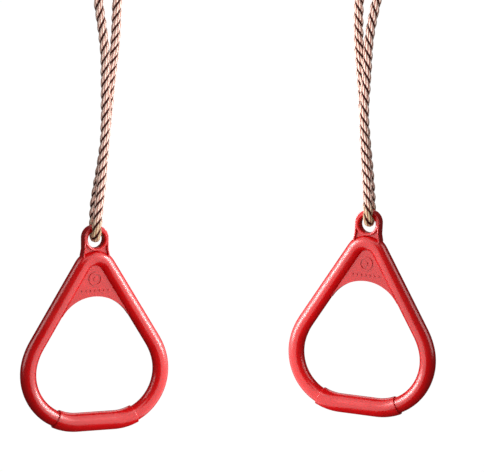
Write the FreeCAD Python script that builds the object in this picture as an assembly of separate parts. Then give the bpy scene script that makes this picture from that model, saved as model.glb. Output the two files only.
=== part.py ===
import FreeCAD, Part
import math
import os

# A pair of hanging rings for hand and trapeze exercises. Each plastic ring is a rounded triangle that
# hangs on a doubled, twisted rope below its own ceiling plate. All sizes are in millimetres.
# +X is to the right of a person facing the rings, +Y is away from them, and +Z is up.
# The origin is on the underside of the beam, midway between the two ceiling plates.

# Hanging points
PLATE_SPACING = 260.0
PIVOT_X = {"left": -PLATE_SPACING / 2, "right": PLATE_SPACING / 2}

# Ceiling plate and its bow
PLATE_LENGTH = 66.0
PLATE_WIDTH = 34.0
PLATE_THICKNESS = 4.0
SCREW_HOLE_RADIUS = 3.25
SCREW_SPACING = 50.0
BOW_ROD_RADIUS = 4.0
BOW_HALF_WIDTH = 13.0
BOW_BOTTOM_Z = -28.0
WELD_SIZE = 1.6

# Carabiner, in the YZ plane
HOOK_ROD_RADIUS = 3.5
HOOK_HALF_WIDTH = 12.0
HOOK_HALF_STRAIGHT = 14.5
HOOK_CLEARANCE = 0.3
HOOK_TOP_Z = BOW_BOTTOM_Z + BOW_ROD_RADIUS + HOOK_CLEARANCE + HOOK_ROD_RADIUS
HOOK_CENTRE_Z = HOOK_TOP_Z - HOOK_HALF_STRAIGHT - HOOK_HALF_WIDTH
HOOK_BOTTOM_Z = HOOK_CENTRE_Z - HOOK_HALF_STRAIGHT - HOOK_HALF_WIDTH
NOSE_Z = HOOK_CENTRE_Z + 12.0
HEEL_Z = HOOK_CENTRE_Z - 11.5
GATE_PIN_Z = HOOK_CENTRE_Z - 8.0
GATE_TOP_Z = NOSE_Z - 0.4
GATE_END_RADIUS = 3.3
GATE_PIN_RADIUS = 1.2
PIN_RUNNING_CLEARANCE = 0.05
TONGUE_THICKNESS = 3.6
TONGUE_RADIUS = 2.5
GATE_SLOT_WIDTH = 4.0
GATE_SLOT_TOP_Z = GATE_PIN_Z + 5.0
SPRING_BORE_RADIUS = 1.8
SPRING_WIRE_RADIUS = 0.25
SPRING_RADIUS = 1.35
SPRING_PITCH = 1.2
SPRING_BOTTOM_Z = GATE_PIN_Z + 3.2
SPRING_TOP_Z = GATE_PIN_Z + 9.8

# Rope, with its thimble and ferrule
ROPE_RADIUS = 5.0
LEG_OFFSET = 5.2
THIMBLE_EYE_RADIUS = 9.0
THIMBLE_WALL = 1.5
THIMBLE_GAP = 0.2
THIMBLE_CENTRE_Z = HOOK_BOTTOM_Z + HOOK_ROD_RADIUS + HOOK_CLEARANCE - THIMBLE_EYE_RADIUS
FERRULE_TOP_Z = THIMBLE_CENTRE_Z - 30.0
FERRULE_HEIGHT = 24.0
FERRULE_HALF_WIDTH = 12.6
FERRULE_HALF_DEPTH = 7.4

# Rope adjuster and stopper knot
ADJUSTER_CENTRE_Z = -188.0
ADJUSTER_THICKNESS = 12.0
ADJUSTER_HOLE_SPACING = 21.0
ADJUSTER_HOLE_RADIUS = 5.4
ADJUSTER_END_RADIUS = 9.5
KNOT_RADIUS = 15.5
KNOT_HEIGHT = 34.0
KNOT_ROUNDING = 9.0
KNOT_OFFSET = 1.2

# Ring: tube, grip, eye and web
TUBE_RADIUS = 8.1
GRIP_RADIUS = 9.6
GRIP_CORE_RADIUS = 6.0
GRIP_END_ROUNDING = 0.6
EYE_TO_APEX = 18.8
APEX_RADIUS = 15.2
LEG_ANGLE = math.radians(31.6)
LEG_LENGTH = 91.8
SHOULDER_RADIUS = 65.0
SHOULDER_TURN = math.radians(15.0)
CORNER_RADIUS = 50.4
GRIP_WRAP = math.radians(25.8)
EYE_RADIUS = 8.7
EYE_ROUNDING = 2.0
LUG_RADIUS = 12.75
LUG_RISE = 1.4
LUG_THICKNESS = 12.6
LUG_ROUNDING = 0.8
LUG_FOOT_Z = -19.0
FLARE_TOP_Z = -9.5
FLARE_BOTTOM_Z = -16.3
FLARE_HALF_WIDTH = 14.2
RIM_WIDTH = 1.8
POCKET_FLOOR_THICKNESS = 7.0
WEB_THICKNESS = 5.0
WEB_ARCH_RADIUS = 40.9
MARK_CENTRE_Z = -40.0
MARK_RADIUS = 7.0
MARK_LINE = 1.6
MARK_HEIGHT = 1.0
PIP_ROW_Z = -51.8
PIP_SPACING = 4.6
PIP_COUNT = 7
PIP_RADIUS = 1.0

# Where each ring hangs: the centre of its eye, its turn about Z and its turn about its own face normal
EYE_CENTRE = {"left": (-138.6, 0.0, -455.1), "right": (135.6, 0.0, -439.8)}
RING_YAW = {"left": 22.5, "right": -22.5}
RING_ROLL = {"left": 0.3, "right": 3.1}

# Rope routes, from the dead end in the ferrule, up round the thimble, down the long leg, through the
# ring's eye and up the short leg to the stopper knot. The part that turns with the ring meets the two
# legs in the middle of the run before the eye and of the run after it.
ROPE_ROUTE = {
    "left": [
        (-124.8, 0.0, -130.0),
        (-124.8, 0.0, -106.0),
        (-112.5, 0.0, -76.3),
        (-121.8, 0.0, -62.8),
        (-138.2, 0.0, -62.8),
        (-147.5, 0.0, -76.3),
        (-135.2, 0.0, -106.0),
        (-135.0, 0.3, -160.0),
        (-135.3, 0.0, -208.0),
        (-126.9, -2.2, -262.0),
        (-126.3, -5.1, -296.0),
        (-126.6, -5.4, -350.0),
        (-131.6, -7.0, -404.0),
        (-134.6, -13.0, -432.0),
        (-136.4, -13.3, -453.1),
        (-140.3, 13.8, -454.2),
        (-140.3, 13.3, -433.0),
        (-138.6, 8.6, -415.0),
        (-130.8, 5.4, -376.0),
        (-126.8, 5.5, -346.0),
        (-121.6, 5.0, -294.0),
        (-117.0, 2.4, -262.0),
        (-115.0, 0.2, -222.0),
        (-114.2, 0.0, -200.0),
        (-114.2, 0.0, -182.0),
    ],
    "right": [
        (135.2, 0.0, -130.0),
        (135.2, 0.0, -106.0),
        (147.5, 0.0, -76.3),
        (138.2, 0.0, -62.8),
        (121.8, 0.0, -62.8),
        (112.5, 0.0, -76.3),
        (124.8, 0.0, -106.0),
        (124.6, 0.3, -160.0),
        (124.9, 0.0, -206.0),
        (123.6, 1.7, -250.0),
        (127.6, 4.9, -292.0),
        (131.2, 5.4, -346.0),
        (136.6, 7.8, -396.0),
        (138.3, 12.8, -419.0),
        (138.3, 13.2, -437.6),
        (133.8, -13.6, -438.2),
        (133.5, -12.9, -419.0),
        (133.2, -9.0, -401.0),
        (131.0, -5.8, -368.0),
        (129.4, -5.3, -330.0),
        (132.3, -4.9, -288.0),
        (134.0, -2.4, -255.0),
        (140.0, -0.1, -226.0),
        (145.8, 0.0, -201.0),
        (145.8, 0.0, -182.0),
    ],
}
RUN_BEFORE_EYE = 12
RUN_AFTER_EYE = 16
THIMBLE_FIRST_RUN = 1
THIMBLE_LAST_RUN = 5


def vec(x, y, z):
    return FreeCAD.Vector(x, y, z)


def save(name, shape):
    """Write one sub-part and say how large it is."""
    if not shape.isValid():
        raise ValueError(name + " is not a valid solid")
    shape.exportStep("parts/" + name + ".step")
    print(f"{name}: {len(shape.Solids)} solid, {shape.Volume / 1000:.2f} cm3")


def arc(start, middle, end):
    return Part.Arc(start, middle, end).toShape()


def line(start, end):
    return Part.LineSegment(start, end).toShape()


def sweep(edges, radius):
    """A round bar along a path of tangent lines and arcs."""
    path = Part.Wire(edges)
    first = path.OrderedEdges[0]
    start = first.valueAt(first.FirstParameter)
    direction = first.tangentAt(first.FirstParameter)
    if path.OrderedVertexes[0].Point.distanceToPoint(start) > 1e-6:
        start = first.valueAt(first.LastParameter)
        direction = first.tangentAt(first.LastParameter).negative()
    section = Part.Wire(Part.makeCircle(radius, start, direction))
    solid = path.makePipeShell([section], True, False)
    expected = math.pi * radius**2 * path.Length
    if abs(solid.Volume / expected - 1) > 0.01:
        raise ValueError(f"swept volume {solid.Volume:.0f} differs from {expected:.0f}")
    return solid


def prism(outline, thickness):
    """A plate in the local XZ plane, centred on y = 0, from a closed list of edges."""
    face = Part.Face(Part.Wire(outline))
    face.translate(vec(0, -thickness / 2, 0))
    return face.extrude(vec(0, thickness, 0))


def polygon_edges(points):
    """The closed outline of a polygon given as (x, z) pairs."""
    corners = [vec(x, 0, z) for x, z in points]
    return [line(a, b) for a, b in zip(corners, corners[1:] + corners[:1])]


def stadium(centre_x, bottom_z, length, width, height):
    """A plate with half-round ends, lying flat."""
    r = width / 2
    h = length / 2 - r
    z = bottom_z
    outline = Part.Wire(
        [
            line(vec(centre_x - h, -r, z), vec(centre_x + h, -r, z)),
            arc(vec(centre_x + h, -r, z), vec(centre_x + h + r, 0, z), vec(centre_x + h, r, z)),
            line(vec(centre_x + h, r, z), vec(centre_x - h, r, z)),
            arc(vec(centre_x - h, r, z), vec(centre_x - h - r, 0, z), vec(centre_x - h, -r, z)),
        ]
    )
    return Part.Face(outline).extrude(vec(0, 0, height))


# ---------------------------------------------------------------- ceiling plate and bow


def bow(x):
    """The bent rod that the carabiner hangs on, with a weld round each foot."""
    bend_z = BOW_BOTTOM_Z + BOW_HALF_WIDTH
    left, right = x - BOW_HALF_WIDTH, x + BOW_HALF_WIDTH
    rod = sweep(
        [
            line(vec(left, 0, -0.2), vec(left, 0, bend_z)),
            arc(vec(left, 0, bend_z), vec(x, 0, BOW_BOTTOM_Z), vec(right, 0, bend_z)),
            line(vec(right, 0, bend_z), vec(right, 0, -0.2)),
        ],
        BOW_ROD_RADIUS,
    )
    down = vec(0, 0, -1)
    for foot in (left, right):
        weld = Part.makeCone(
            BOW_ROD_RADIUS + WELD_SIZE, BOW_ROD_RADIUS, WELD_SIZE, vec(foot, 0, -PLATE_THICKNESS), down
        )
        rod = rod.fuse(weld)
    return rod.removeSplitter()


def ceiling_plate(x, bow_shape):
    plate = stadium(x, -PLATE_THICKNESS, PLATE_LENGTH, PLATE_WIDTH, PLATE_THICKNESS)
    lower_rim = [e for e in plate.Edges if abs(e.BoundBox.ZMax + PLATE_THICKNESS) < 1e-6]
    plate = plate.makeFillet(1.0, lower_rim)
    for side in (-1, 1):
        at = vec(x + side * SCREW_SPACING / 2, 0, -PLATE_THICKNESS)
        plate = plate.cut(Part.makeCylinder(SCREW_HOLE_RADIUS, PLATE_THICKNESS, at))
        foot = vec(x + side * BOW_HALF_WIDTH, 0, -PLATE_THICKNESS)
        plate = plate.cut(Part.makeCylinder(BOW_ROD_RADIUS, PLATE_THICKNESS, foot))
    return plate.cut(bow_shape)


# ---------------------------------------------------------------- carabiner


def carabiner_body(x):
    """The bent rod, open at the front, with the tongue that the gate turns on."""
    front, back = -HOOK_HALF_WIDTH, HOOK_HALF_WIDTH
    high = HOOK_CENTRE_Z + HOOK_HALF_STRAIGHT
    low = HOOK_CENTRE_Z - HOOK_HALF_STRAIGHT
    rod = sweep(
        [
            line(vec(x, front, NOSE_Z), vec(x, front, high)),
            arc(vec(x, front, high), vec(x, 0, HOOK_TOP_Z), vec(x, back, high)),
            line(vec(x, back, high), vec(x, back, low)),
            arc(vec(x, back, low), vec(x, 0, HOOK_BOTTOM_Z), vec(x, front, low)),
            line(vec(x, front, low), vec(x, front, HEEL_Z)),
        ],
        HOOK_ROD_RADIUS,
    )
    across = vec(1, 0, 0)
    side = vec(x - TONGUE_THICKNESS / 2, front, GATE_PIN_Z)
    tongue = Part.makeCylinder(TONGUE_RADIUS, TONGUE_THICKNESS, side, across)
    neck_height = GATE_PIN_Z - HEEL_Z + 1.0
    neck = Part.makeBox(
        TONGUE_THICKNESS,
        2 * TONGUE_RADIUS,
        neck_height,
        vec(x - TONGUE_THICKNESS / 2, front - TONGUE_RADIUS, HEEL_Z - 1.0),
    )
    hole_radius = GATE_PIN_RADIUS + PIN_RUNNING_CLEARANCE
    hole = Part.makeCylinder(hole_radius, 10, vec(x - 5, front, GATE_PIN_Z), across)
    return rod.fuse([tongue, neck]).removeSplitter().cut(hole)


def carabiner_gate(x):
    """The rod that closes the front, forked round the tongue, with a bore for its spring."""
    front = -HOOK_HALF_WIDTH
    upper = Part.makeCylinder(HOOK_ROD_RADIUS, GATE_TOP_Z - GATE_PIN_Z, vec(x, front, GATE_PIN_Z))
    lower = Part.makeCylinder(HOOK_ROD_RADIUS, GATE_END_RADIUS, vec(x, front, GATE_PIN_Z - GATE_END_RADIUS))
    across = vec(1, 0, 0)
    end = Part.makeCylinder(GATE_END_RADIUS, 10, vec(x - 5, front, GATE_PIN_Z), across)
    gate = upper.fuse(lower.common(end)).removeSplitter()
    slot_bottom = GATE_PIN_Z - GATE_END_RADIUS - 1
    slot_corner = vec(x - GATE_SLOT_WIDTH / 2, front - 5, slot_bottom)
    slot = Part.makeBox(GATE_SLOT_WIDTH, 10, GATE_SLOT_TOP_Z - slot_bottom, slot_corner)
    bore = Part.makeCylinder(SPRING_BORE_RADIUS, SPRING_TOP_Z + 0.2 - GATE_PIN_Z, vec(x, front, GATE_PIN_Z))
    hole = Part.makeCylinder(GATE_PIN_RADIUS, 10, vec(x - 5, front, GATE_PIN_Z), across)
    return gate.cut([slot, bore, hole])


def gate_pin(x):
    length = 2 * HOOK_ROD_RADIUS - 0.4
    return Part.makeCylinder(
        GATE_PIN_RADIUS, length, vec(x - length / 2, -HOOK_HALF_WIDTH, GATE_PIN_Z), vec(1, 0, 0)
    )


def gate_spring(x):
    """A coil spring in the gate's bore, pressing on the tongue."""
    height = SPRING_TOP_Z - SPRING_BOTTOM_Z - 2 * SPRING_WIRE_RADIUS
    helix = Part.makeHelix(SPRING_PITCH, height, SPRING_RADIUS)
    start = vec(SPRING_RADIUS, 0, 0)
    section = Part.Wire(Part.makeCircle(SPRING_WIRE_RADIUS, start, vec(0, 1, 0)))
    coil = Part.Wire(helix).makePipeShell([section], True, True)
    coil.translate(vec(x, -HOOK_HALF_WIDTH, SPRING_BOTTOM_Z + SPRING_WIRE_RADIUS))
    return coil


# ---------------------------------------------------------------- rope


def rounded_corner(before, corner, after):
    """The arc at one corner of a route: its start, middle, end and radius."""
    run_in = corner - before
    run_out = after - corner
    turn = run_in.getAngle(run_out)
    reach = 0.45 * min(run_in.Length, run_out.Length)
    radius = reach / math.tan(turn / 2)
    start = corner - run_in * (reach / run_in.Length)
    end = corner + run_out * (reach / run_out.Length)
    inwards = (start + end) * 0.5 - corner
    inwards.normalize()
    middle = corner + inwards * (radius / math.cos(turn / 2) - radius)
    return start, middle, end, radius


def route_path(points, first_run, last_run):
    """Lines and tangent arcs between the middles of two runs. None stands for the end of the route."""
    corners = [vec(*p) for p in points]
    here = corners[0] if first_run is None else (corners[first_run] + corners[first_run + 1]) * 0.5
    last = corners[-1] if last_run is None else (corners[last_run] + corners[last_run + 1]) * 0.5
    low = 1 if first_run is None else first_run + 1
    high = len(corners) - 2 if last_run is None else last_run
    edges = []
    radii = []
    for k in range(low, high + 1):
        start, middle, end, radius = rounded_corner(corners[k - 1], corners[k], corners[k + 1])
        edges += [line(here, start), arc(start, middle, end)]
        radii.append(radius)
        here = end
    edges.append(line(here, last))
    return edges, radii


def rope_tube(points, first_run, last_run):
    edges, radii = route_path(points, first_run, last_run)
    print("  bend radii:", ", ".join(f"{r:.0f}" for r in radii))
    return sweep(edges, ROPE_RADIUS)


def thimble(points):
    """A grooved steel eye inside the rope's upper loop."""
    edges, _ = route_path(points, THIMBLE_FIRST_RUN, THIMBLE_LAST_RUN)
    inner = sweep(edges, ROPE_RADIUS + THIMBLE_GAP)
    outer = sweep(edges, ROPE_RADIUS + THIMBLE_GAP + THIMBLE_WALL)
    path = Part.Wire(edges)
    ends = [path.OrderedVertexes[0].Point, path.OrderedVertexes[-1].Point]
    inside = prism(edges + [line(ends[1], ends[0])], 4 * ROPE_RADIUS)
    return outer.cut(inner).common(inside)


def ferrule(x, rope_shape):
    """A pressed oval sleeve that holds the rope's dead end against its long leg."""
    corner = FERRULE_HALF_DEPTH
    block = stadium(x, FERRULE_TOP_Z - FERRULE_HEIGHT, 2 * FERRULE_HALF_WIDTH, 2 * corner, FERRULE_HEIGHT)
    rims = [e for e in block.Edges if e.BoundBox.ZLength < 1e-6]
    return block.makeFillet(1.2, rims).cut(rope_shape)


def adjuster(long_leg_x, short_leg_x):
    """The two-hole bar that sets how long the rope's loop is."""
    centre = (long_leg_x + short_leg_x) / 2
    length = ADJUSTER_HOLE_SPACING + 2 * ADJUSTER_END_RADIUS
    bottom = ADJUSTER_CENTRE_Z - ADJUSTER_THICKNESS / 2
    bar = stadium(centre, bottom, length, 2 * ADJUSTER_END_RADIUS, ADJUSTER_THICKNESS)
    rims = [e for e in bar.Edges if e.BoundBox.ZLength < 1e-6]
    bar = bar.makeFillet(2.0, rims)
    for x in (long_leg_x, short_leg_x):
        bar = bar.cut(Part.makeCylinder(ADJUSTER_HOLE_RADIUS, ADJUSTER_THICKNESS, vec(x, 0, bottom)))
    return bar


def stopper_knot(x):
    """The outer shape of the overhand knot that keeps the short leg from pulling out."""
    bottom = ADJUSTER_CENTRE_Z + ADJUSTER_THICKNESS / 2
    body = Part.makeCylinder(KNOT_RADIUS, KNOT_HEIGHT, vec(x + KNOT_OFFSET, 0, bottom))
    rims = [e for e in body.Edges if e.BoundBox.ZLength < 1e-6]
    return body.makeFillet(KNOT_ROUNDING, rims)


# ---------------------------------------------------------------- ring


class RingOutline:
    """The ring's centreline in its own XZ plane, with the eye's centre at the origin."""

    def __init__(self):
        apex_turn = math.pi / 2 - LEG_ANGLE
        self.apex_centre_z = -EYE_TO_APEX - APEX_RADIUS
        self.leg_top = (
            APEX_RADIUS * math.sin(apex_turn),
            self.apex_centre_z + APEX_RADIUS * math.cos(apex_turn),
        )
        self.leg_bottom = (
            self.leg_top[0] + LEG_LENGTH * math.sin(LEG_ANGLE),
            self.leg_top[1] - LEG_LENGTH * math.cos(LEG_ANGLE),
        )
        self.shoulder_centre = (
            self.leg_bottom[0] - SHOULDER_RADIUS * math.cos(LEG_ANGLE),
            self.leg_bottom[1] - SHOULDER_RADIUS * math.sin(LEG_ANGLE),
        )
        self.corner_angle = LEG_ANGLE - SHOULDER_TURN
        reach = SHOULDER_RADIUS - CORNER_RADIUS
        self.corner_centre = (
            self.shoulder_centre[0] + reach * math.cos(self.corner_angle),
            self.shoulder_centre[1] + reach * math.sin(self.corner_angle),
        )

    def on_shoulder(self, angle):
        """A point of the shoulder arc, at an angle above the horizontal through its centre."""
        x, z = self.shoulder_centre
        return x + SHOULDER_RADIUS * math.cos(angle), z + SHOULDER_RADIUS * math.sin(angle)

    def on_corner(self, angle):
        """A point of the corner arc, at an angle above the horizontal through its centre."""
        x, z = self.corner_centre
        return x + CORNER_RADIUS * math.cos(angle), z + CORNER_RADIUS * math.sin(angle)

    def upper_path(self):
        """From the left end of the grip, over the apex, to its right end."""
        joint = GRIP_WRAP - math.pi / 2
        half = [
            self.on_corner(joint),
            self.on_corner((joint + self.corner_angle) / 2),
            self.on_corner(self.corner_angle),
            self.on_shoulder((self.corner_angle + LEG_ANGLE) / 2),
            self.leg_bottom,
            self.leg_top,
        ]
        right = [vec(x, 0, z) for x, z in half]
        left = [vec(-x, 0, z) for x, z in half]
        return [
            arc(left[0], left[1], left[2]),
            arc(left[2], left[3], left[4]),
            line(left[4], left[5]),
            arc(left[5], vec(0, 0, -EYE_TO_APEX), right[5]),
            line(right[5], right[4]),
            arc(right[4], right[3], right[2]),
            arc(right[2], right[1], right[0]),
        ]

    def grip_path(self):
        """From the left end of the grip, along the bar, to its right end."""
        joint = GRIP_WRAP - math.pi / 2
        angles = [joint, (joint - math.pi / 2) / 2, -math.pi / 2]
        half = [self.on_corner(angle) for angle in angles]
        right = [vec(x, 0, z) for x, z in half]
        left = [vec(-x, 0, z) for x, z in half]
        return [
            arc(left[0], left[1], left[2]),
            line(left[2], right[2]),
            arc(right[2], right[1], right[0]),
        ]


def eye_cutter():
    """The eye's hole, widening at both faces so that the lug's edges don't cut the rope."""
    half = LUG_THICKNESS / 2
    flat = half - EYE_ROUNDING
    wide = EYE_RADIUS + EYE_ROUNDING
    bulge = EYE_ROUNDING * math.sqrt(0.5)
    profile = [
        line(vec(0, -half, 0), vec(wide, -half, 0)),
        arc(vec(wide, -half, 0), vec(wide - bulge, -flat - bulge, 0), vec(EYE_RADIUS, -flat, 0)),
        line(vec(EYE_RADIUS, -flat, 0), vec(EYE_RADIUS, flat, 0)),
        arc(vec(EYE_RADIUS, flat, 0), vec(wide - bulge, flat + bulge, 0), vec(wide, half, 0)),
        line(vec(wide, half, 0), vec(0, half, 0)),
        line(vec(0, half, 0), vec(0, -half, 0)),
    ]
    return Part.Face(Part.Wire(profile)).revolve(vec(0, 0, 0), vec(0, 1, 0), 360)


def lug_head():
    """The round top of the lug, before its eye is cut."""
    disc = Part.makeCylinder(
        LUG_RADIUS, LUG_THICKNESS, vec(0, -LUG_THICKNESS / 2, LUG_RISE), vec(0, 1, 0)
    )
    rims = [e for e in disc.Edges if e.BoundBox.YLength < 1e-6]
    return disc.makeFillet(LUG_ROUNDING, rims)


def lug_side(side):
    """One upright edge of the lug, widening at its foot to meet the leg's outer line."""
    inner = LUG_RADIUS - RIM_WIDTH
    foot = FLARE_HALF_WIDTH - RIM_WIDTH
    outline = [
        (LUG_RADIUS, LUG_RISE),
        (LUG_RADIUS, FLARE_TOP_Z),
        (FLARE_HALF_WIDTH, FLARE_BOTTOM_Z),
        (foot, LUG_FOOT_Z),
        (foot, FLARE_BOTTOM_Z),
        (inner, FLARE_TOP_Z),
        (inner, LUG_RISE),
    ]
    bar = prism(polygon_edges([(side * x, z) for x, z in outline]), LUG_THICKNESS)
    on_faces = [e for e in bar.Edges if e.BoundBox.YLength < 1e-6 and e.BoundBox.ZLength > 1]
    return bar.makeFillet(LUG_ROUNDING, [e for e in on_faces if e.BoundBox.ZMin > FLARE_BOTTOM_Z - 0.1])


def lug_floor():
    """The thinner plate between the lug's sides, below the eye."""
    top = LUG_RADIUS - RIM_WIDTH / 2
    foot = FLARE_HALF_WIDTH - RIM_WIDTH / 2
    outline = [
        (-top, 0),
        (top, 0),
        (top, FLARE_TOP_Z),
        (foot, FLARE_BOTTOM_Z),
        (foot, LUG_FOOT_Z),
        (-foot, LUG_FOOT_Z),
        (-foot, FLARE_BOTTOM_Z),
        (-top, FLARE_TOP_Z),
    ]
    return prism(polygon_edges(outline), POCKET_FLOOR_THICKNESS)


def web(outline):
    """The flat plate in the ring's apex, with an arched lower edge and a plain raised mark."""
    top_x, top_z = outline.leg_top
    slope = LEG_ANGLE
    # the arch touches both legs' inner edges, so its centre is one arch radius from them
    edge_x = top_x - TUBE_RADIUS * math.cos(slope)
    edge_z = top_z - TUBE_RADIUS * math.sin(slope)
    centre_z = edge_z + (edge_x * math.cos(slope) - WEB_ARCH_RADIUS) / math.sin(slope)
    touch = (WEB_ARCH_RADIUS * math.cos(slope), centre_z + WEB_ARCH_RADIUS * math.sin(slope))
    inside_leg = (touch[0] + TUBE_RADIUS * math.cos(slope), touch[1] + TUBE_RADIUS * math.sin(slope))
    corners = [touch, inside_leg, (top_x, top_z), (0, -EYE_TO_APEX - 2)]
    right = [vec(x, 0, z) for x, z in corners]
    left = [vec(-x, 0, z) for x, z in corners[:3]]
    edges = [line(a, b) for a, b in zip(right, right[1:])]
    edges += [line(right[3], left[2]), line(left[2], left[1]), line(left[1], left[0])]
    edges.append(arc(left[0], vec(0, 0, centre_z + WEB_ARCH_RADIUS), right[0]))
    plate = prism(edges, WEB_THICKNESS)
    depth = WEB_THICKNESS + 2 * MARK_HEIGHT
    along = vec(0, 1, 0)
    at = vec(0, -depth / 2, MARK_CENTRE_Z)
    ring = Part.makeCylinder(MARK_RADIUS, depth, at, along)
    ring = ring.cut(Part.makeCylinder(MARK_RADIUS - MARK_LINE, depth, at, along))
    marks = [ring, Part.makeCylinder(2 * PIP_RADIUS, depth, at, along)]
    for k in range(PIP_COUNT):
        pip_x = (k - (PIP_COUNT - 1) / 2) * PIP_SPACING
        marks.append(Part.makeCylinder(PIP_RADIUS, depth, vec(pip_x, -depth / 2, PIP_ROW_Z), along))
    return plate.fuse(marks)


def ring_frame(outline):
    """The one-piece moulding: tube, grip core, web and the lug with its eye."""
    tube = sweep(outline.upper_path(), TUBE_RADIUS)
    core = sweep(outline.grip_path(), GRIP_CORE_RADIUS)
    lug = lug_head().fuse([lug_side(-1), lug_side(1), lug_floor()]).cut(eye_cutter())
    return tube.fuse([core, lug, web(outline)]).removeSplitter()


def hand_grip(outline):
    """The thicker sleeve moulded over the bar."""
    sleeve = sweep(outline.grip_path(), GRIP_RADIUS)
    end_x = outline.on_corner(GRIP_WRAP - math.pi / 2)[0]
    circles = [e for e in sleeve.Edges if abs(e.Length - 2 * math.pi * GRIP_RADIUS) < 0.01]
    ends = [e for e in circles if abs(abs(e.CenterOfMass.x) - end_x) < 0.5]
    sleeve = sleeve.makeFillet(GRIP_END_ROUNDING, ends)
    return sleeve.cut(sweep(outline.grip_path(), GRIP_CORE_RADIUS))


def hang(shape, side):
    """Put a ring's part where that ring hangs."""
    turn = FreeCAD.Rotation(vec(0, 0, 1), RING_YAW[side])
    roll = FreeCAD.Rotation(vec(0, 1, 0), RING_ROLL[side])
    placed = shape.copy()
    placed.Placement = FreeCAD.Placement(vec(*EYE_CENTRE[side]), turn.multiply(roll))
    return placed


# ---------------------------------------------------------------- the whole pair


def build_side(side, frame_shape, grip_shape):
    x = PIVOT_X[side]
    points = ROPE_ROUTE[side]
    long_leg = rope_tube(points, None, RUN_BEFORE_EYE)
    bow_shape = bow(x)
    save("bow_" + side, bow_shape)
    save("ceiling_plate_" + side, ceiling_plate(x, bow_shape))
    save("carabiner_body_" + side, carabiner_body(x))
    save("carabiner_gate_" + side, carabiner_gate(x))
    save("gate_pin_" + side, gate_pin(x))
    save("gate_spring_" + side, gate_spring(x))
    save("thimble_" + side, thimble(points))
    save("ferrule_" + side, ferrule(x, long_leg))
    save("rope_long_leg_" + side, long_leg)
    save("rope_bight_" + side, rope_tube(points, RUN_BEFORE_EYE, RUN_AFTER_EYE))
    save("rope_short_leg_" + side, rope_tube(points, RUN_AFTER_EYE, None))
    long_leg_x = x - LEG_OFFSET
    short_leg_x = long_leg_x + ADJUSTER_HOLE_SPACING
    save("rope_adjuster_" + side, adjuster(long_leg_x, short_leg_x))
    save("stopper_knot_" + side, stopper_knot(short_leg_x))
    save("ring_frame_" + side, hang(frame_shape, side))
    save("hand_grip_" + side, hang(grip_shape, side))


def main():
    os.makedirs("parts", exist_ok=True)
    outline = RingOutline()
    frame_shape = ring_frame(outline)
    grip_shape = hand_grip(outline)
    for side in ("left", "right"):
        build_side(side, frame_shape, grip_shape)


main()
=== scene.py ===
import math
from collections import namedtuple

import bpy
import numpy as np
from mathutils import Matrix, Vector


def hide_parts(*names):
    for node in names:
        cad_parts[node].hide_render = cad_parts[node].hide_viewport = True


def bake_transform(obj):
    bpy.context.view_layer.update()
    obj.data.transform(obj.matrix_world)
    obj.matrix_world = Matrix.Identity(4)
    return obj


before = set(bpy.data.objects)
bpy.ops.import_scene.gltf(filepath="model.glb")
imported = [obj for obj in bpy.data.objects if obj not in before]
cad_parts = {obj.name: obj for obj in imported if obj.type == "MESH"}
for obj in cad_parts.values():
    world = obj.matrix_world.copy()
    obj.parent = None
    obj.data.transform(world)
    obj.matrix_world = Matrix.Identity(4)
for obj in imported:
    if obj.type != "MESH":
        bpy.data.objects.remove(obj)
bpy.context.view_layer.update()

# A pair of plastic trapeze rings on doubled twisted ropes. Metres, in the part's own frame: +X to the
# right, +Y away from the viewer, +Z up, origin on the underside of the beam.

SIDES = ("left", "right")

# ------------------------------------------------------------------ rope sizes

# Three strands, laid right-handed on one rope and left-handed on the other
ROPE_DIAMETER = 0.010
LAY_LENGTH = 0.033
LAY_HAND = {"left": 1, "right": -1}
STRANDS = 3
STRAND_RADIUS = 0.232 * ROPE_DIAMETER
STRAND_OFFSET = 0.262 * ROPE_DIAMETER
# Each strand's yarns turn the other way about the strand, so they run nearly along the rope
YARNS = 5
YARN_LAY_LENGTH = 0.0165
# A strand's shape, in shares of its radius: its swell, its extra width and the depth of its yarn gaps
STRAND_SWELL = 1.03
SIDE_SWELL = 0.06
YARN_GAP_DEPTH = 0.10
# Slow unevenness of a strand: share of its radius, length per radian, and phase from strand to strand
WOBBLES = ((0.02, 0.0067, 2.1), (0.012, 0.0029, 1.0))
# Cosines of the angle about a yarn and about a strand: the yarn gap, dented and darkened with painted
# shade, and the groove's painted shade start below them, and the painted groove shade deepens to its
# darkest over the last of them
YARN_GAP_START = 0.5
GROOVE_SHADE_START = 0.56
GROOVE_SHADE_FADE = 0.32
# Spacing of the mesh
ROPE_STEP = 0.0009
POINTS_AROUND = 36

# ------------------------------------------------------------------ rope places

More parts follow.
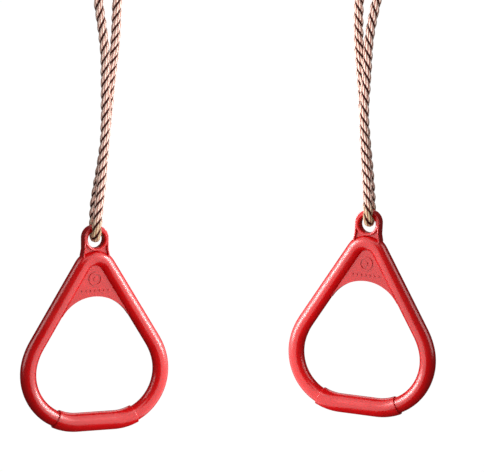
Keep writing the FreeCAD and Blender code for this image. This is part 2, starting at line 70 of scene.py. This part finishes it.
# The ropes' routes, from the dead end in the ferrule to just below the adjuster
ROPE_ROUTE = {
    "left": [
        (-0.1248, 0.0, -0.1300),
        (-0.1248, 0.0, -0.1060),
        (-0.1125, 0.0, -0.0763),
        (-0.1218, 0.0, -0.0628),
        (-0.1382, 0.0, -0.0628),
        (-0.1475, 0.0, -0.0763),
        (-0.1352, 0.0, -0.1060),
        (-0.1350, 0.0003, -0.1600),
        (-0.1353, 0.0, -0.2080),
        (-0.1269, -0.0022, -0.2620),
        (-0.1263, -0.0051, -0.2960),
        (-0.1266, -0.0054, -0.3500),
        (-0.1316, -0.0070, -0.4040),
        (-0.1346, -0.0130, -0.4320),
        (-0.1364, -0.0133, -0.4531),
        (-0.1403, 0.0138, -0.4542),
        (-0.1403, 0.0133, -0.4330),
        (-0.1386, 0.0086, -0.4150),
        (-0.1308, 0.0054, -0.3760),
        (-0.1268, 0.0055, -0.3460),
        (-0.1216, 0.0050, -0.2940),
        (-0.1170, 0.0024, -0.2620),
        (-0.1150, 0.0002, -0.2220),
        (-0.1142, 0.0, -0.2000),
    ],
    "right": [
        (0.1352, 0.0, -0.1300),
        (0.1352, 0.0, -0.1060),
        (0.1475, 0.0, -0.0763),
        (0.1382, 0.0, -0.0628),
        (0.1218, 0.0, -0.0628),
        (0.1125, 0.0, -0.0763),
        (0.1248, 0.0, -0.1060),
        (0.1246, 0.0003, -0.1600),
        (0.1249, 0.0, -0.2060),
        (0.1236, 0.0017, -0.2500),
        (0.1276, 0.0049, -0.2920),
        (0.1312, 0.0054, -0.3460),
        (0.1366, 0.0078, -0.3960),
        (0.1383, 0.0128, -0.4190),
        (0.1383, 0.0132, -0.4376),
        (0.1338, -0.0136, -0.4382),
        (0.1335, -0.0129, -0.4190),
        (0.1332, -0.0090, -0.4010),
        (0.1310, -0.0058, -0.3680),
        (0.1294, -0.0053, -0.3300),
        (0.1323, -0.0049, -0.2880),
        (0.1340, -0.0024, -0.2550),
        (0.1400, -0.0001, -0.2260),
        (0.1458, 0.0, -0.2010),
    ],
}
# The overhand knot on the adjuster, from the middle of the short leg's hole in its upper face
KNOT_FOOT_Z = -0.1820
KNOT_TURNS = [
    (0.0, 0.0, -0.003),
    (0.0005, -0.0005, 0.005),
    (0.004, -0.0025, 0.012),
    (0.0105, -0.0015, 0.017),
    (0.011, 0.0055, 0.025),
    (0.0045, 0.0115, 0.029),
    (-0.005, 0.0095, 0.0275),
    (-0.0095, 0.002, 0.021),
    (-0.006, -0.007, 0.0145),
    (0.0005, -0.012, 0.0085),
    (0.009, -0.0095, 0.0045),
    (0.0125, 0.0, 0.005),
    (0.0095, 0.0085, 0.0125),
    (0.0025, 0.0065, 0.019),
    (0.0005, 0.0005, 0.026),
    (-0.0005, 0.0005, 0.036),
    (-0.001, 0.0005, 0.043),
]
# The eye of each ring, and two heights above it: the rope is tinted a darker khaki below the first,
# fully so the second further down
EYE_CENTRE = {"left": (-0.1386, 0.0, -0.4551), "right": (0.1356, 0.0, -0.4398)}
KHAKI_TOP = 0.024
KHAKI_FADE = 0.012

# ------------------------------------------------------------------ light and camera places

FLOOR_Z = -1.45
FLOOR_RADIUS = 2.1

# The white surroundings, by what looks at them: the light they give, their reflection, the background
WORLD_LIGHT = 0.26
WORLD_REFLECTED = 0.03
WORLD_SEEN = 1.02

# A light panel's centre, the point that it faces, its width and height, and its radiance, where 1 is
# the white of the background
Panel = namedtuple("Panel", "place target width height radiance")

# Panels for the left ring and rope, mirrored for the right ones
INNER_PANEL = Panel((0.0, -0.12, -0.42), (-1.0, -0.12, -0.42), 0.44, 0.66, 2.2)
# Panels that only show as reflections, on the pieces that aren't metal
STREAK_PANELS = {
    "glow": Panel((1.04, -0.225, -0.17), (-0.10, 0.0, -0.50), 1.40, 0.95, 3.5),
    "strip": Panel((1.04, -0.225, -0.17), (-0.10, 0.0, -0.50), 0.60, 0.83, 15.0),
    "rim": Panel((-0.84, -0.20, -0.20), (-0.18, 0.0, -0.54), 0.42, 0.75, 3.8),
}
ROOM_PANELS = {
    "key": Panel((0.0, -1.8, 1.1), (0.0, 0.0, -0.45), 1.4, 0.7, 2.6),
    "back": Panel((0.0, 1.8, 0.9), (0.0, 0.0, -0.35), 1.6, 0.9, 2.4),
}
ROPE_PANELS = {
    "rope_fill": Panel((0.0, -1.6, -0.2), (0.0, 0.0, -0.3), 1.0, 1.0, 3.2),
}
METAL_PANELS = {
    "metal_front": Panel((-0.9, -1.4, 0.3), (0.0, 0.0, -0.1), 1.2, 1.0, 0.8),
    "metal_back": Panel((0.9, 1.4, 0.3), (0.0, 0.0, -0.1), 1.2, 1.0, 0.8),
    "metal_dome": Panel((0.0, 0.0, 1.0), (0.0, 0.0, -0.1), 3.5, 3.5, 0.35),
}
FLOOR_PANEL = Panel((0.0, 0.0, 1.2), (0.0, 0.0, FLOOR_Z), 3.0, 3.0, 1.9)

CAMERA_TARGET = (0.0087, 0.0, -0.4520)
CAMERA_DISTANCE = 2.2
CAMERA_PITCH = math.radians(6.1)
VIEW_WIDTH = 0.484
SENSOR_WIDTH = 36.0


# ------------------------------------------------------------------ node helpers


class Shader:
    """A node material, with short calls for the nodes that it is built from."""

    def __init__(self, name):
        self.material = bpy.data.materials.new(name)
        self.material.use_nodes = True
        self.nodes = self.material.node_tree.nodes
        self.links = self.material.node_tree.links
        self.principled = self.nodes["Principled BSDF"]
        self.place = None

    def node(self, kind, **values):
        made = self.nodes.new(kind)
        for name, value in values.items():
            if name in made.inputs:
                made.inputs[name].default_value = value
            else:
                setattr(made, name, value)
        return made

    def link(self, source, target):
        self.links.new(source, target)

    def coordinates(self):
        if self.place is None:
            self.place = self.node("ShaderNodeTexCoord").outputs["Object"]
        return self.place

    def attribute(self, name):
        """A number that the mesh carries at each point."""
        return self.node("ShaderNodeAttribute", attribute_name=name).outputs["Fac"]

    def noise(self, scale, detail=2.0, stretch=None, vector=None):
        """Noise over the object's own coordinates, or over another vector, maybe stretched."""
        made = self.node("ShaderNodeTexNoise", Scale=scale, Detail=detail)
        source = vector or self.coordinates()
        if stretch:
            mapping = self.node("ShaderNodeMapping", Scale=stretch)
            self.link(source, mapping.inputs["Vector"])
            source = mapping.outputs["Vector"]
        self.link(source, made.inputs["Vector"])
        return made.outputs["Fac"]

    def span(self, value, low, high, start=0.3, end=0.7):
        """A factor between start and end turned into a number between low and high."""
        made = self.node("ShaderNodeMapRange")
        made.inputs["From Min"].default_value = start
        made.inputs["From Max"].default_value = end
        made.inputs["To Min"].default_value = low
        made.inputs["To Max"].default_value = high
        self.link(value, made.inputs["Value"])
        return made.outputs["Result"]

    def mix(self, factor, first, second):
        """Two colours, either of them a socket, mixed by a factor."""
        made = self.node("ShaderNodeMix", data_type="RGBA")
        self.link(factor, made.inputs["Factor"])
        for value, name in ((first, "A"), (second, "B")):
            target = [socket for socket in made.inputs if socket.name == name and socket.type == "RGBA"][0]
            if isinstance(value, tuple):
                target.default_value = (*value, 1.0)
            else:
                self.link(value, target)
        return [socket for socket in made.outputs if socket.type == "RGBA"][0]

    def bump(self, height, strength, distance, previous=None):
        made = self.node("ShaderNodeBump", Strength=strength, Distance=distance)
        self.link(height, made.inputs["Height"])
        if previous is not None:
            self.link(previous, made.inputs["Normal"])
        return made.outputs["Normal"]

    def finish(self, colour=None, roughness=None, normal=None, metallic=0.0, **others):
        for value, name in ((colour, "Base Color"), (roughness, "Roughness"), (normal, "Normal")):
            if value is not None:
                self.link(value, self.principled.inputs[name])
        self.principled.inputs["Metallic"].default_value = metallic
        for name, value in others.items():
            self.principled.inputs[name.replace("_", " ")].default_value = value
        return self.material


# ------------------------------------------------------------------ materials


def red_plastic(name, deep, bright):
    """Glossy moulded plastic: slightly uneven colour, smudges and faint flow marks."""
    shader = Shader(name)
    cloud = shader.noise(18.0, 3.0)
    colour = shader.mix(shader.span(cloud, 0.0, 1.0), deep, bright)
    smudge = shader.noise(55.0, 4.0)
    rough = shader.span(smudge, 0.20, 0.28)
    flow = shader.noise(9.0, 1.0)
    grain = shader.noise(1600.0, 2.0)
    normal = shader.bump(grain, 0.006, 0.0001, shader.bump(flow, 0.06, 0.002))
    return shader.finish(colour, rough, normal, IOR=1.49)


def steel(name, dark, light, roughness, grain_stretch):
    """Bare or plated metal: cloudy brightness, fine grain drawn out by grain_stretch, and small pits."""
    shader = Shader(name)
    cloud = shader.noise(60.0, 4.0)
    colour = shader.mix(shader.span(cloud, 0.0, 1.0), dark, light)
    grain = shader.noise(700.0, 3.0, stretch=grain_stretch)
    rough = shader.span(grain, *roughness)
    pits = shader.noise(260.0, 5.0)
    normal = shader.bump(pits, 0.10, 0.0003, shader.bump(grain, 0.06, 0.0002))
    return shader.finish(colour, rough, normal, metallic=1.0)


def black_plastic(name):
    """Matt black plastic with a fine spark-eroded grain."""
    shader = Shader(name)
    cloud = shader.noise(40.0, 3.0)
    colour = shader.mix(shader.span(cloud, 0.0, 1.0), (0.014, 0.014, 0.016), (0.035, 0.034, 0.034))
    spark = shader.noise(2400.0, 3.0)
    rough = shader.span(cloud, 0.42, 0.58)
    return shader.finish(colour, rough, shader.bump(spark, 0.25, 0.0002))


def rope_fibre(name):
    """Laid fibre rope: pale yarns, with painted shade as redder lines between them and as dark grooves
    between the strands.
    """
    shader = Shader(name)
    place = shader.node("ShaderNodeUVMap", uv_map="fibre").outputs["UV"]
    fibre = shader.noise(1.0, 3.0, stretch=(90.0, 500.0, 1.0), vector=place)
    patch = shader.noise(70.0, 3.0)
    pale = shader.mix(shader.span(fibre, 0.0, 1.0), (0.74, 0.48, 0.36), (1.0, 0.96, 0.87))
    warm = shader.mix(shader.span(patch, 0.0, 0.45), pale, (0.88, 0.56, 0.45))
    # Darker khaki yarns, used on the rope near the eye
    rubbed = shader.mix(shader.span(fibre, 0.0, 1.0), (0.34, 0.24, 0.11), (0.85, 0.74, 0.47))
    tinted = shader.mix(shader.attribute("rubbed"), warm, rubbed)
    # Painted shade: the gaps between the yarns are darkened to a deep red
    gap_shaded = shader.mix(shader.attribute("yarn_gap"), tinted, (0.26, 0.060, 0.040))
    # Painted shade: the sides of each strand that face the other strands are darkened nearly to black
    colour = shader.mix(shader.attribute("groove"), gap_shaded, (0.045, 0.006, 0.004))
    rough = shader.span(fibre, 0.72, 0.92)
    return shader.finish(colour, rough, shader.bump(fibre, 0.5, 0.0004), Specular_IOR_Level=0.12)


def floor_paper(name):
    """Plain pale paper, hardly uneven."""
    shader = Shader(name)
    cloud = shader.noise(3.0, 2.0)
    colour = shader.mix(shader.span(cloud, 0.0, 1.0), (0.80, 0.80, 0.79), (0.84, 0.84, 0.83))
    return shader.finish(colour, shader.span(cloud, 0.6, 0.7))


# Every slot's finish: the function that makes it and what that function is given
FINISHES = {
    "ring_plastic": (red_plastic, (0.46, 0.0005, 0.001), (0.57, 0.0008, 0.002)),
    "grip_plastic": (red_plastic, (0.48, 0.0005, 0.001), (0.59, 0.001, 0.003)),
    "rope_fibre": (rope_fibre,),
    "zinc_steel": (steel, (0.42, 0.43, 0.44), (0.66, 0.66, 0.65), (0.30, 0.48), (1.0, 1.0, 1.0)),
    "bright_steel": (steel, (0.60, 0.60, 0.61), (0.78, 0.78, 0.78), (0.12, 0.24), (1.0, 1.0, 0.2)),
    "ferrule_aluminium": (steel, (0.58, 0.58, 0.59), (0.76, 0.76, 0.76), (0.28, 0.42), (1.0, 1.0, 0.1)),
    "adjuster_plastic": (black_plastic,),
    "floor": (floor_paper,),
}
MATERIALS = {slot: make(slot, *values) for slot, (make, *values) in FINISHES.items()}
METAL_SLOT = {
    "ceiling_plate": "zinc_steel",
    "bow": "zinc_steel",
    "carabiner_body": "bright_steel",
    "carabiner_gate": "bright_steel",
    "gate_pin": "bright_steel",
    "gate_spring": "bright_steel",
    "thimble": "bright_steel",
    "ferrule": "ferrule_aluminium",
}
PLASTIC_SLOT = {
    "rope_adjuster": "adjuster_plastic",
    "ring_frame": "ring_plastic",
    "hand_grip": "grip_plastic",
}


def cad_nodes(names, side):
    return [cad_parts[f"{name}_{side}"] for name in names]


def dress_cad_nodes():
    """Each CAD piece that stays in view gets its finish."""
    slots = METAL_SLOT | PLASTIC_SLOT
    for side in SIDES:
        for piece, slot in zip(cad_nodes(slots, side), slots.values()):
            piece.data.materials.clear()
            piece.data.materials.append(MATERIALS[slot])


# ------------------------------------------------------------------ ropes


def spline_points(points):
    """The smooth line of a rope: a NURBS spline with the route's points as its control points."""
    curve = bpy.data.curves.new("route", "CURVE")
    curve.dimensions = "3D"
    curve.resolution_u = 10
    spline = curve.splines.new("NURBS")
    spline.points.add(len(points) - 1)
    for target, point in zip(spline.points, points):
        target.co = (*point, 1.0)
    spline.order_u = 3
    spline.use_endpoint_u = True
    holder = bpy.data.objects.new("route", curve)
    mesh = bpy.data.meshes.new_from_object(holder)
    line = np.array([vertex.co for vertex in mesh.vertices], float)
    bpy.data.meshes.remove(mesh)
    bpy.data.objects.remove(holder)
    bpy.data.curves.remove(curve)
    return line


def unit(vectors):
    return vectors / np.linalg.norm(vectors, axis=1)[:, None]


def square_to(direction, vectors):
    """Vectors with their part along unit directions taken away, made one long."""
    return unit(vectors - direction * (vectors * direction).sum(1)[:, None])


def even_steps(line, step):
    """The line's points at even distances, and how far along the line each of them is."""
    along = np.r_[0, np.cumsum(np.linalg.norm(np.diff(line, axis=0), axis=1))]
    at = np.linspace(0, along[-1], int(along[-1] / step) + 1)
    return np.stack([np.interp(at, along, line[:, k]) for k in range(3)], axis=1), at


def carried_normals(line):
    """Two normals of a line, square to each other, that turn with it as little as they can."""
    tangent = unit(np.gradient(line, axis=0))
    normal = np.zeros_like(line)
    start = np.cross(tangent[0], (0.0, 1.0, 0.0))
    normal[0] = start / np.linalg.norm(start)
    for i in range(1, len(line)):
        normal[i] = square_to(tangent[i : i + 1], normal[i - 1 : i])[0]
    return normal, np.cross(tangent, normal)


def around_angles():
    """The angles of a strand's points about its own middle, from the rope's outside."""
    return np.linspace(0, 2 * math.pi, POINTS_AROUND, endpoint=False)


def yarn_turn(at, lay):
    """How far the yarns have turned about their strand."""
    return lay * 2 * math.pi * at / YARN_LAY_LENGTH


def strand_surface(line, at, normals, lay, number):
    """One strand's points, as rows along it and columns around it, with the depth of its yarn gaps."""
    phase = lay * 2 * math.pi * at / LAY_LENGTH + number * 2 * math.pi / STRANDS
    out = normals[0] * np.cos(phase)[:, None] + normals[1] * np.sin(phase)[:, None]
    middle = line + STRAND_OFFSET * out
    along = unit(np.gradient(middle, axis=0))
    out = square_to(along, out)
    side = np.cross(along, out)
    theta = around_angles()
    wave = np.cos(YARNS * (theta[None, :] + yarn_turn(at, lay)[:, None]) + number)
    # The same share dents the yarn gaps and paints shade into them
    gap = np.clip(YARN_GAP_START - wave, 0, 1)
    wobble = sum(share * np.sin(at / length + step * number) for share, length, step in WOBBLES)
    radius = STRAND_RADIUS * (STRAND_SWELL + wobble[:, None] - YARN_GAP_DEPTH * gap)
    widened = radius + np.abs(np.sin(theta))[None, :] * SIDE_SWELL * STRAND_RADIUS
    surface = (
        middle[:, None]
        + radius[..., None] * np.cos(theta)[None, :, None] * out[:, None]
        + widened[..., None] * np.sin(theta)[None, :, None] * side[:, None]
    )
    return surface, gap


def tube_faces(first, rows):
    """The faces of a closed tube whose points start at index first: four-sided ones and two caps."""
    index = first + np.arange(rows * POINTS_AROUND).reshape(rows, POINTS_AROUND)
    after = np.roll(index, -1, axis=1)
    sides = np.stack([index[:-1], after[:-1], after[1:], index[1:]], axis=2).reshape(-1, 4)
    return sides.tolist() + [index[0, ::-1].tolist(), index[-1].tolist()]


def tube_uv(at, lay, number):
    """Places on the unrolled strand that turn with the yarns, for the corners of the tube's faces."""
    share = np.arange(POINTS_AROUND + 1) / POINTS_AROUND + yarn_turn(at, lay)[:, None] / (2 * math.pi)
    grid = np.stack(np.broadcast_arrays(share + number, at[:, None]), axis=2)
    sides = np.stack([grid[:-1, :-1], grid[:-1, 1:], grid[1:, 1:], grid[1:, :-1]], axis=2)
    return np.concatenate([sides.reshape(-1, 2), np.zeros((2 * POINTS_AROUND, 2))])


def laid_rope(name, line, at, lay, rubbed):
    """A three-strand rope along a line. lay is +1 or -1, the way its strands turn."""
    normals = carried_normals(line)
    # Painted shade for the grooves between the strands, set by the angle about each strand
    groove = np.clip((GROOVE_SHADE_START - np.cos(around_angles())) / GROOVE_SHADE_FADE, 0, 1)
    vertices, faces, uv, gaps = [], [], [], []
    for number in range(STRANDS):
        surface, gap = strand_surface(line, at, normals, lay, number)
        faces.extend(tube_faces(len(vertices), len(line)))
        vertices.extend(surface.reshape(-1, 3).tolist())
        uv.append(tube_uv(at, lay, number))
        gaps.append(gap)
    mesh = bpy.data.meshes.new(name)
    mesh.from_pydata(vertices, [], faces)
    mesh.polygons.foreach_set("use_smooth", [True] * len(mesh.polygons))
    mesh.uv_layers.new(name="fibre").data.foreach_set("uv", np.concatenate(uv).astype(np.float32).ravel())
    gaps = np.stack(gaps)
    carried = {"yarn_gap": gaps, "groove": groove[None, None, :], "rubbed": rubbed[None, :, None]}
    for label, values in carried.items():
        flat = np.broadcast_to(values, gaps.shape).astype(np.float32).ravel()
        mesh.attributes.new(label, "FLOAT", "POINT").data.foreach_set("value", flat)
    mesh.materials.append(MATERIALS["rope_fibre"])
    mesh.update()
    piece = bpy.data.objects.new(name, mesh)
    bpy.context.scene.collection.objects.link(piece)
    return piece


def make_rope(side):
    """One rope with its knot, in place of the CAD rope pieces."""
    route = ROPE_ROUTE[side]
    knot_foot = Vector((route[-1][0], 0.0, KNOT_FOOT_Z))
    knot = [tuple(knot_foot + Vector(turn)) for turn in KNOT_TURNS]
    line, at = even_steps(spline_points(route + knot), ROPE_STEP)
    eye = Vector(EYE_CENTRE[side])
    # How khaki the rope is: none above the first height over the eye, fully so some way below it
    rubbed = np.clip((eye.z + KHAKI_TOP - line[:, 2]) / KHAKI_FADE, 0, 1)
    piece = laid_rope("laid_rope_" + side, line, at, LAY_HAND[side], rubbed)
    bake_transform(piece)
    replaced = ("rope_long_leg", "rope_bight", "rope_short_leg", "stopper_knot")
    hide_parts(*(f"{name}_{side}" for name in replaced))
    return piece


# ------------------------------------------------------------------ stage, light and camera


def add_panel(name, panel, lit=()):
    """A rectangular light that the camera can't see. With lit, it lights only those pieces, and nothing
    but them shades it."""
    data = bpy.data.lights.new(name, "AREA")
    data.shape = "RECTANGLE"
    data.size = panel.width
    data.size_y = panel.height
    data.energy = panel.radiance * panel.width * panel.height * math.pi
    lamp = bpy.data.objects.new(name, data)
    bpy.context.scene.collection.objects.link(lamp)
    lamp.location = panel.place
    facing = Vector(panel.target) - Vector(panel.place)
    lamp.rotation_euler = facing.to_track_quat("-Z", "Y").to_euler()
    lamp.visible_camera = False
    if lit:
        chosen = bpy.data.collections.new(name)
        for piece in lit:
            chosen.objects.link(piece)
        lamp.light_linking.receiver_collection = chosen
        lamp.light_linking.blocker_collection = chosen
    return lamp


def for_side(panel, side):
    """A panel given for the left side, mirrored when it is for the right one."""
    if side == "left":
        return panel
    place, target = ((-x, y, z) for x, y, z in (panel.place, panel.target))
    return panel._replace(place=place, target=target)


def make_stage():
    """A floor below the rings, left out of reflections and of the light that falls on them."""
    location = (0, 0, FLOOR_Z)
    bpy.ops.mesh.primitive_circle_add(vertices=96, radius=FLOOR_RADIUS, fill_type="NGON", location=location)
    floor = bpy.context.object
    floor.name = "floor"
    floor.data.materials.append(MATERIALS["floor"])
    floor.visible_diffuse = False
    floor.visible_glossy = False
    add_panel("floor_wash", FLOOR_PANEL, [floor])


def make_world():
    """White behind the rings, a softer white for light, and a dim one in reflections."""
    world = bpy.data.worlds.new("studio")
    bpy.context.scene.world = world
    world.use_nodes = True
    nodes, links = world.node_tree.nodes, world.node_tree.links
    nodes.clear()
    path = nodes.new("ShaderNodeLightPath")
    shades = []
    for strength in (WORLD_LIGHT, WORLD_REFLECTED, WORLD_SEEN):
        shade = nodes.new("ShaderNodeBackground")
        shade.inputs["Color"].default_value = (1, 1, 1, 1)
        shade.inputs["Strength"].default_value = strength
        shades.append(shade.outputs["Background"])
    mixed = shades[0]
    for ray, shade in (("Is Glossy Ray", shades[1]), ("Is Camera Ray", shades[2])):
        mix = nodes.new("ShaderNodeMixShader")
        links.new(path.outputs[ray], mix.inputs["Fac"])
        links.new(mixed, mix.inputs[1])
        links.new(shade, mix.inputs[2])
        mixed = mix.outputs["Shader"]
    out = nodes.new("ShaderNodeOutputWorld")
    links.new(mixed, out.inputs["Surface"])


def make_light(ropes):
    """The surroundings, and panels for each side, the whole, the ropes and the metals."""
    make_world()
    metals = [piece for side in SIDES for piece in cad_nodes(METAL_SLOT, side)]
    for side in SIDES:
        mine = [o for o in bpy.context.scene.objects if o.type == "MESH" and o.name.endswith(side)]
        add_panel("inner_" + side, for_side(INNER_PANEL, side), mine)
        unplated = [piece for piece in mine if piece not in metals]
        for name, panel in STREAK_PANELS.items():
            add_panel(f"{name}_{side}", for_side(panel, side), unplated).visible_diffuse = False
    for panels, lit in ((ROOM_PANELS, ()), (ROPE_PANELS, ropes), (METAL_PANELS, metals)):
        for name, panel in panels.items():
            add_panel(name, panel, lit)
    bpy.context.scene.view_settings.view_transform = "Standard"


def make_camera():
    """In front of the rings and a little above them, looking slightly down between their eyes."""
    data = bpy.data.cameras.new("camera")
    data.sensor_width = SENSOR_WIDTH
    data.lens = SENSOR_WIDTH * CAMERA_DISTANCE / VIEW_WIDTH
    data.clip_start = 0.1
    data.clip_end = 50.0
    camera = bpy.data.objects.new("camera", data)
    bpy.context.scene.collection.objects.link(camera)
    backwards = Vector((0.0, -math.cos(CAMERA_PITCH), math.sin(CAMERA_PITCH)))
    camera.location = Vector(CAMERA_TARGET) + CAMERA_DISTANCE * backwards
    camera.rotation_euler = (math.pi / 2 - CAMERA_PITCH, 0.0, 0.0)
    bpy.context.scene.camera = camera


make_camera()
ropes = [make_rope(side) for side in SIDES]
dress_cad_nodes()
make_stage()
make_light(ropes)
